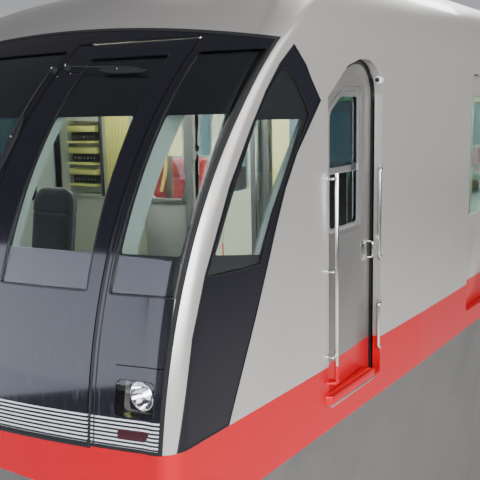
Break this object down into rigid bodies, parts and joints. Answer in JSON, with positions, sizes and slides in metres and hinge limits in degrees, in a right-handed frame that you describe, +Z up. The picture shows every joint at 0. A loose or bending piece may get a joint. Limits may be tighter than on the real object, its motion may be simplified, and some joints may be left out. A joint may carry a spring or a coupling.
{
  "type": "end car of a straddle-beam monorail",
  "caption": "Straddle monorail end car with raked glazed nose, hinged cab doors and front hatch, sliding doors, and bogies whose tyres run on and grip a beam.",
  "frame": {"origin": "mid-length on the centreline, at the guideway beam's running surface", "axes": "+Z up, -Y towards the nose, +X to the car's left"},
  "size_m": [2.98, 14.7, 5.1],
  "materials": {
    "body_silver": "satin metallic paint",
    "mask_black": "gloss black-navy",
    "red_paint": "gloss paint",
    "skirt_grey": "satin paint",
    "glass": "clear, slightly tinted",
    "bellows_rubber": "folded rubberised cloth",
    "tyre": "smooth ribbed tyre",
    "frame_steel": "dark grey paint, dusty",
    "lining": "light grey lining",
    "desk_plastic": "textured dark grey",
    "desk_fabric": "dark upholstery",
    "rack_paint": "yellow-green paint",
    "seat_cloth": "dark red moquette"
  },
  "bodies": {
    "car_body": {"underframe": "frame_steel", "roof_shell": "body_silver", "nose_cowl": "body_silver", "nose_mask": "mask_black", "nose_apron": "red_paint", "nose_skirt": "skirt_grey", "corner_window_right": "glass", "windscreen": "glass", "corner_window_left": "glass", "rear_wall": "body_silver", "gangway": "bellows_rubber", "coupler": "frame_steel", "cab_partition": "lining", "cab_desk": "desk_plastic", "driver_seat": "desk_fabric", "equipment_rack": "rack_paint", "side_wall_left": "body_silver", "skirt_left": "skirt_grey", "quarter_window_left": "glass", "side_window_front_left": "glass", "side_window_rear_left": "glass", "bench_middle_left": "seat_cloth", "bench_rear_left": "seat_cloth", "side_wall_right": "body_silver", "skirt_right": "skirt_grey", "quarter_window_right": "glass", "side_window_front_right": "glass", "side_window_rear_right": "glass", "bench_middle_right": "seat_cloth", "bench_rear_right": "seat_cloth"},
    "front_hatch": {"front_hatch": "mask_black"},
    "crew_door_left": {"crew_door_left": "body_silver"},
    "door_front_left_a": {"door_front_left_a": "body_silver"},
    "door_front_left_b": {"door_front_left_b": "body_silver"},
    "door_rear_left_a": {"door_rear_left_a": "body_silver"},
    "door_rear_left_b": {"door_rear_left_b": "body_silver"},
    "crew_door_right": {"crew_door_right": "body_silver"},
    "door_front_right_a": {"door_front_right_a": "body_silver"},
    "door_front_right_b": {"door_front_right_b": "body_silver"},
    "door_rear_right_a": {"door_rear_right_a": "body_silver"},
    "door_rear_right_b": {"door_rear_right_b": "body_silver"},
    "bogie_front": {"bogie_front": "frame_steel"},
    "wheel_set_front_a": {"wheel_set_front_a": "tyre"},
    "wheel_set_front_b": {"wheel_set_front_b": "tyre"},
    "guide_wheel_front_left_a": {"guide_wheel_front_left_a": "tyre"},
    "guide_wheel_front_left_b": {"guide_wheel_front_left_b": "tyre"},
    "stabiliser_wheel_front_left": {"stabiliser_wheel_front_left": "tyre"},
    "guide_wheel_front_right_a": {"guide_wheel_front_right_a": "tyre"},
    "guide_wheel_front_right_b": {"guide_wheel_front_right_b": "tyre"},
    "stabiliser_wheel_front_right": {"stabiliser_wheel_front_right": "tyre"},
    "bogie_rear": {"bogie_rear": "frame_steel"},
    "wheel_set_rear_a": {"wheel_set_rear_a": "tyre"},
    "wheel_set_rear_b": {"wheel_set_rear_b": "tyre"},
    "guide_wheel_rear_left_a": {"guide_wheel_rear_left_a": "tyre"},
    "guide_wheel_rear_left_b": {"guide_wheel_rear_left_b": "tyre"},
    "stabiliser_wheel_rear_left": {"stabiliser_wheel_rear_left": "tyre"},
    "guide_wheel_rear_right_a": {"guide_wheel_rear_right_a": "tyre"},
    "guide_wheel_rear_right_b": {"guide_wheel_rear_right_b": "tyre"},
    "stabiliser_wheel_rear_right": {"stabiliser_wheel_rear_right": "tyre"}
  },
  "joints": [
    {"name": "front_hatch_lift", "type": "hinge", "parent": "car_body", "child": "front_hatch", "pos_m": [0.695, -6.4324, 3.121], "axis": [-1, 0, 0], "range_deg": [0, 75]},
    {"name": "crew_door_left_swing", "type": "hinge", "parent": "car_body", "child": "crew_door_left", "pos_m": [1.41, -5.786, 2], "axis": [0, 0, 1], "range_deg": [0, 80]},
    {"name": "door_front_left_a_slide", "type": "slide", "parent": "car_body", "child": "door_front_left_a", "axis": [0, -1, 0], "range_m": [0, 0.62]},
    {"name": "door_front_left_b_slide", "type": "slide", "parent": "car_body", "child": "door_front_left_b", "axis": [0, 1, 0], "range_m": [0, 0.62]},
    {"name": "door_rear_left_a_slide", "type": "slide", "parent": "car_body", "child": "door_rear_left_a", "axis": [0, -1, 0], "range_m": [0, 0.62]},
    {"name": "door_rear_left_b_slide", "type": "slide", "parent": "car_body", "child": "door_rear_left_b", "axis": [0, 1, 0], "range_m": [0, 0.62]},
    {"name": "crew_door_right_swing", "type": "hinge", "parent": "car_body", "child": "crew_door_right", "pos_m": [-1.41, -5.786, 2], "axis": [0, 0, -1], "range_deg": [0, 80]},
    {"name": "door_front_right_a_slide", "type": "slide", "parent": "car_body", "child": "door_front_right_a", "axis": [0, -1, 0], "range_m": [0, 0.62]},
    {"name": "door_front_right_b_slide", "type": "slide", "parent": "car_body", "child": "door_front_right_b", "axis": [0, 1, 0], "range_m": [0, 0.62]},
    {"name": "door_rear_right_a_slide", "type": "slide", "parent": "car_body", "child": "door_rear_right_a", "axis": [0, -1, 0], "range_m": [0, 0.62]},
    {"name": "door_rear_right_b_slide", "type": "slide", "parent": "car_body", "child": "door_rear_right_b", "axis": [0, 1, 0], "range_m": [0, 0.62]},
    {"name": "bogie_front_turn", "type": "hinge", "parent": "car_body", "child": "bogie_front", "pos_m": [0, -4.3, 0.9], "axis": [0, 0, 1], "range_deg": [-5.5, 5.5]},
    {"name": "wheel_set_front_a_spin", "type": "hinge", "parent": "bogie_front", "child": "wheel_set_front_a", "pos_m": [0, -5.05, 0.49], "axis": [1, 0, 0], "continuous": true},
    {"name": "wheel_set_front_b_spin", "type": "hinge", "parent": "bogie_front", "child": "wheel_set_front_b", "pos_m": [0, -3.55, 0.49], "axis": [1, 0, 0], "continuous": true},
    {"name": "guide_wheel_front_left_a_spin", "type": "hinge", "parent": "bogie_front", "child": "guide_wheel_front_left_a", "pos_m": [0.765, -5.55, -0.25], "axis": [0, 0, 1], "continuous": true},
    {"name": "guide_wheel_front_left_b_spin", "type": "hinge", "parent": "bogie_front", "child": "guide_wheel_front_left_b", "pos_m": [0.765, -3.05, -0.25], "axis": [0, 0, 1], "continuous": true},
    {"name": "stabiliser_wheel_front_left_spin", "type": "hinge", "parent": "bogie_front", "child": "stabiliser_wheel_front_left", "pos_m": [0.765, -4.3, -1.13], "axis": [0, 0, 1], "continuous": true},
    {"name": "guide_wheel_front_right_a_spin", "type": "hinge", "parent": "bogie_front", "child": "guide_wheel_front_right_a", "pos_m": [-0.765, -5.55, -0.25], "axis": [0, 0, 1], "continuous": true},
    {"name": "guide_wheel_front_right_b_spin", "type": "hinge", "parent": "bogie_front", "child": "guide_wheel_front_right_b", "pos_m": [-0.765, -3.05, -0.25], "axis": [0, 0, 1], "continuous": true},
    {"name": "stabiliser_wheel_front_right_spin", "type": "hinge", "parent": "bogie_front", "child": "stabiliser_wheel_front_right", "pos_m": [-0.765, -4.3, -1.13], "axis": [0, 0, 1], "continuous": true},
    {"name": "bogie_rear_turn", "type": "hinge", "parent": "car_body", "child": "bogie_rear", "pos_m": [0, 4.5, 0.9], "axis": [0, 0, 1], "range_deg": [-5.5, 5.5]},
    {"name": "wheel_set_rear_a_spin", "type": "hinge", "parent": "bogie_rear", "child": "wheel_set_rear_a", "pos_m": [0, 3.75, 0.49], "axis": [1, 0, 0], "continuous": true},
    {"name": "wheel_set_rear_b_spin", "type": "hinge", "parent": "bogie_rear", "child": "wheel_set_rear_b", "pos_m": [0, 5.25, 0.49], "axis": [1, 0, 0], "continuous": true},
    {"name": "guide_wheel_rear_left_a_spin", "type": "hinge", "parent": "bogie_rear", "child": "guide_wheel_rear_left_a", "pos_m": [0.765, 3.25, -0.25], "axis": [0, 0, 1], "continuous": true},
    {"name": "guide_wheel_rear_left_b_spin", "type": "hinge", "parent": "bogie_rear", "child": "guide_wheel_rear_left_b", "pos_m": [0.765, 5.75, -0.25], "axis": [0, 0, 1], "continuous": true},
    {"name": "stabiliser_wheel_rear_left_spin", "type": "hinge", "parent": "bogie_rear", "child": "stabiliser_wheel_rear_left", "pos_m": [0.765, 4.5, -1.13], "axis": [0, 0, 1], "continuous": true},
    {"name": "guide_wheel_rear_right_a_spin", "type": "hinge", "parent": "bogie_rear", "child": "guide_wheel_rear_right_a", "pos_m": [-0.765, 3.25, -0.25], "axis": [0, 0, 1], "continuous": true},
    {"name": "guide_wheel_rear_right_b_spin", "type": "hinge", "parent": "bogie_rear", "child": "guide_wheel_rear_right_b", "pos_m": [-0.765, 5.75, -0.25], "axis": [0, 0, 1], "continuous": true},
    {"name": "stabiliser_wheel_rear_right_spin", "type": "hinge", "parent": "bogie_rear", "child": "stabiliser_wheel_rear_right", "pos_m": [-0.765, 4.5, -1.13], "axis": [0, 0, 1], "continuous": true}
  ],
  "couplings": [
    {"joint": "door_front_left_b_slide", "follows": "door_front_left_a_slide", "ratio": 1},
    {"joint": "door_rear_left_b_slide", "follows": "door_rear_left_a_slide", "ratio": 1},
    {"joint": "door_front_right_b_slide", "follows": "door_front_right_a_slide", "ratio": 1},
    {"joint": "door_rear_right_b_slide", "follows": "door_rear_right_a_slide", "ratio": 1}
  ]
}
